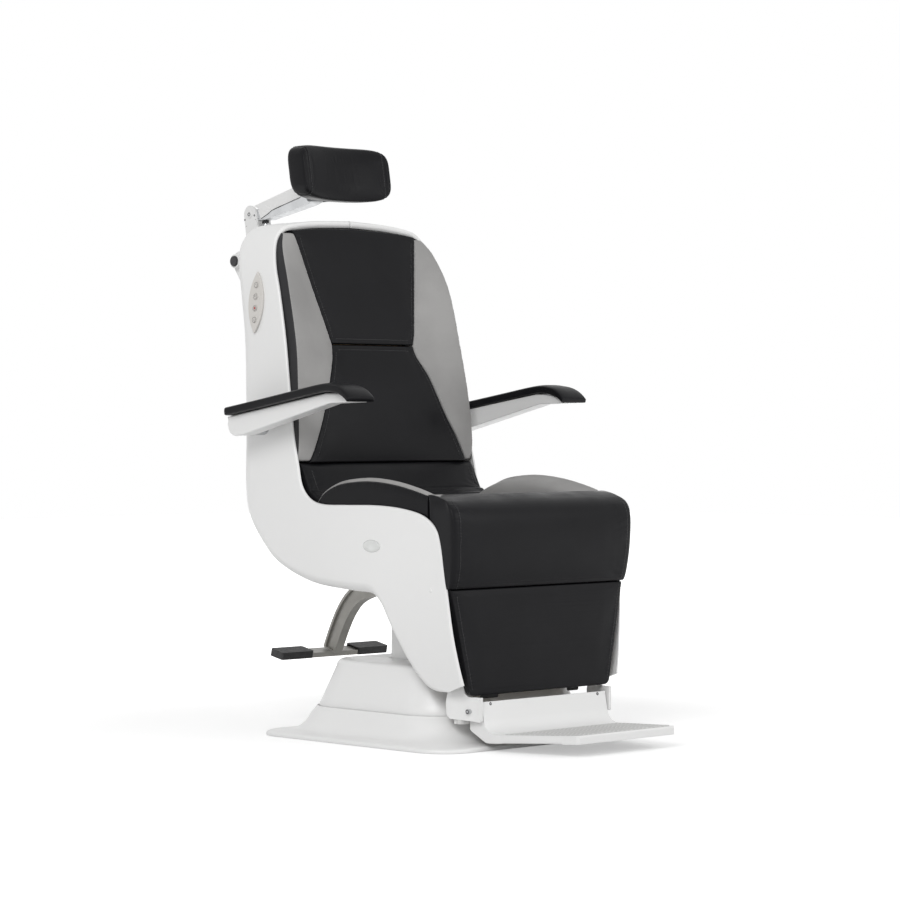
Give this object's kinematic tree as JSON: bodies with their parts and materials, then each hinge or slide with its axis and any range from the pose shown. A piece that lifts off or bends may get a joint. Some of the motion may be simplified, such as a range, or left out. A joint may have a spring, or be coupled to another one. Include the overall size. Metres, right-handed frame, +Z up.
{
  "type": "ophthalmic examination chair",
  "caption": "Powered eye-examination chair: padded one-piece seat shell on a square lift column, with folding armrests and footrest, brake pedal and jointed headrest",
  "frame": {"origin": "on the floor, on the axis of the lift column, under the floor plate", "axes": "+Z up, the sitter faces -Y, +X is the sitter's left"},
  "size_m": [0.7348, 1.2196, 1.3148],
  "materials": {
    "white_moulding": "satin white moulded plastic",
    "white_paint": "satin white powder coat",
    "steel": "dark grey painted steel",
    "bright_steel": "machined, bright",
    "drive_casting": "bare cast aluminium",
    "pedal_casting": "warm grey cast aluminium",
    "dark_plastic": "matt black",
    "black_rubber": "matt black rubber",
    "pale_rubber": "pale grey ribbed rubber",
    "plywood": "bare board",
    "black_upholstery": "black leatherette, low sheen",
    "grey_upholstery": "light grey leatherette, low sheen",
    "keypad_grey": "grey-beige membrane",
    "stop_red": "red key"
  },
  "bodies": {
    "base": {"floor_plate": "steel", "base_skirt": "white_moulding", "base_cover": "white_moulding", "column_fixed": "steel", "column_bolts": "bright_steel", "lift_cylinder": "steel", "lift_motor": "drive_casting", "power_unit": "dark_plastic", "power_inlet": "dark_plastic"},
    "middle_stage": {"column_middle": "bright_steel"},
    "lift_column": {"column_inner": "white_paint", "lift_ram": "bright_steel", "slew_ring_fixed": "steel"},
    "turntable": {"slew_ring_turning": "bright_steel", "turntable": "steel", "tilt_drive": "drive_casting", "pedal_bracket": "steel"},
    "brake_pedal": {"pedal_lever": "pedal_casting", "pedal_pads": "black_rubber"},
    "seat": {"tilt_axle": "bright_steel", "seat_rails": "steel", "back_uprights": "steel", "cross_tubes": "steel", "seat_pan": "plywood", "backrest_board": "plywood", "calf_board": "plywood", "left_shell": "white_moulding", "right_shell": "white_moulding", "back_cover": "white_moulding", "underside_cover": "white_moulding", "headrest_housing": "white_moulding", "seat_cushion": "black_upholstery", "front_roll": "black_upholstery", "left_bolster": "grey_upholstery", "right_bolster": "grey_upholstery", "lumbar_cushion": "black_upholstery", "backrest_centre": "black_upholstery", "left_wing": "grey_upholstery", "right_wing": "grey_upholstery", "calf_pad": "black_upholstery", "keypad_housing": "keypad_grey", "arm_hubs": "bright_steel", "hinge_brackets": "white_paint", "hinge_pins": "bright_steel", "bump_stops": "pale_rubber"},
    "up_key": {"up_key": "keypad_grey"},
    "return_key": {"return_key": "keypad_grey"},
    "stop_key": {"stop_key": "stop_red"},
    "down_key": {"down_key": "keypad_grey"},
    "left_armrest": {"left_arm": "white_paint", "left_arm_pad": "black_upholstery"},
    "right_armrest": {"right_arm": "white_paint", "right_arm_pad": "black_upholstery"},
    "headrest_mast": {"headrest_mast": "white_paint"},
    "height_button": {"height_button": "dark_plastic"},
    "headrest_arm": {"headrest_arm": "drive_casting", "headrest_arm_cover": "white_moulding"},
    "headrest_pad": {"headrest_pad": "black_upholstery"},
    "footrest": {"footrest": "white_paint", "footrest_mat": "pale_rubber"}
  },
  "joints": [
    {"name": "lift", "type": "slide", "parent": "base", "child": "lift_column", "axis": [0, 0, 1], "range_m": [0, 0.2]},
    {"name": "middle_lift", "type": "slide", "parent": "base", "child": "middle_stage", "axis": [0, 0, 1], "range_m": [0, 0.1]},
    {"name": "swivel", "type": "hinge", "parent": "lift_column", "child": "turntable", "pos_m": [0, 0, 0.31], "axis": [0, 0, 1], "range_deg": [-165, 165]},
    {"name": "pedal_press", "type": "hinge", "parent": "turntable", "child": "brake_pedal", "pos_m": [0, 0.15, 0.334], "axis": [-1, 0, 0], "range_deg": [0, 6], "stiffness_Nm_per_rad": 80, "springref_deg": -17.19},
    {"name": "seat_tilt", "type": "hinge", "parent": "turntable", "child": "seat", "pos_m": [0, 0, 0.372], "axis": [-1, 0, 0], "range_deg": [0, 15]},
    {"name": "left_arm_fold", "type": "hinge", "parent": "seat", "child": "left_armrest", "pos_m": [-0.322, 0.305, 0.684], "axis": [-1, 0, 0], "range_deg": [0, 90]},
    {"name": "right_arm_fold", "type": "hinge", "parent": "seat", "child": "right_armrest", "pos_m": [0.322, 0.305, 0.684], "axis": [-1, 0, 0], "range_deg": [0, 90]},
    {"name": "headrest_height", "type": "slide", "parent": "seat", "child": "headrest_mast", "axis": [0, 0.1564, 0.9877], "range_m": [-0.015, 0.035]},
    {"name": "height_lock", "type": "slide", "parent": "seat", "child": "height_button", "axis": [1, 0, 0], "range_m": [0, 0.004], "stiffness_N_per_m": 800, "springref_m": -0.003},
    {"name": "headrest_reach", "type": "hinge", "parent": "headrest_mast", "child": "headrest_arm", "pos_m": [0, 0.645, 1.177], "axis": [-1, 0, 0], "range_deg": [0, 40]},
    {"name": "headrest_tilt", "type": "hinge", "parent": "headrest_arm", "child": "headrest_pad", "pos_m": [0, 0.437, 1.206], "axis": [-1, 0, 0], "range_deg": [-15, 25]},
    {"name": "footrest_fold", "type": "hinge", "parent": "seat", "child": "footrest", "pos_m": [0, -0.278, 0.082], "axis": [-1, 0, 0], "range_deg": [0, 85]},
    {"name": "up_key_press", "type": "slide", "parent": "seat", "child": "up_key", "axis": [0.9971, 0, -0.0755], "range_m": [0, 0.001], "stiffness_N_per_m": 300, "springref_m": -0.0015},
    {"name": "return_key_press", "type": "slide", "parent": "seat", "child": "return_key", "axis": [0.9971, 0, -0.0755], "range_m": [0, 0.001], "stiffness_N_per_m": 300, "springref_m": -0.0015},
    {"name": "stop_key_press", "type": "slide", "parent": "seat", "child": "stop_key", "axis": [0.9971, 0, -0.0755], "range_m": [0, 0.001], "stiffness_N_per_m": 300, "springref_m": -0.0015},
    {"name": "down_key_press", "type": "slide", "parent": "seat", "child": "down_key", "axis": [0.9971, 0, -0.0755], "range_m": [0, 0.001], "stiffness_N_per_m": 300, "springref_m": -0.0015}
  ],
  "couplings": [
    {"joint": "middle_lift", "follows": "lift", "ratio": 0.5}
  ]
}
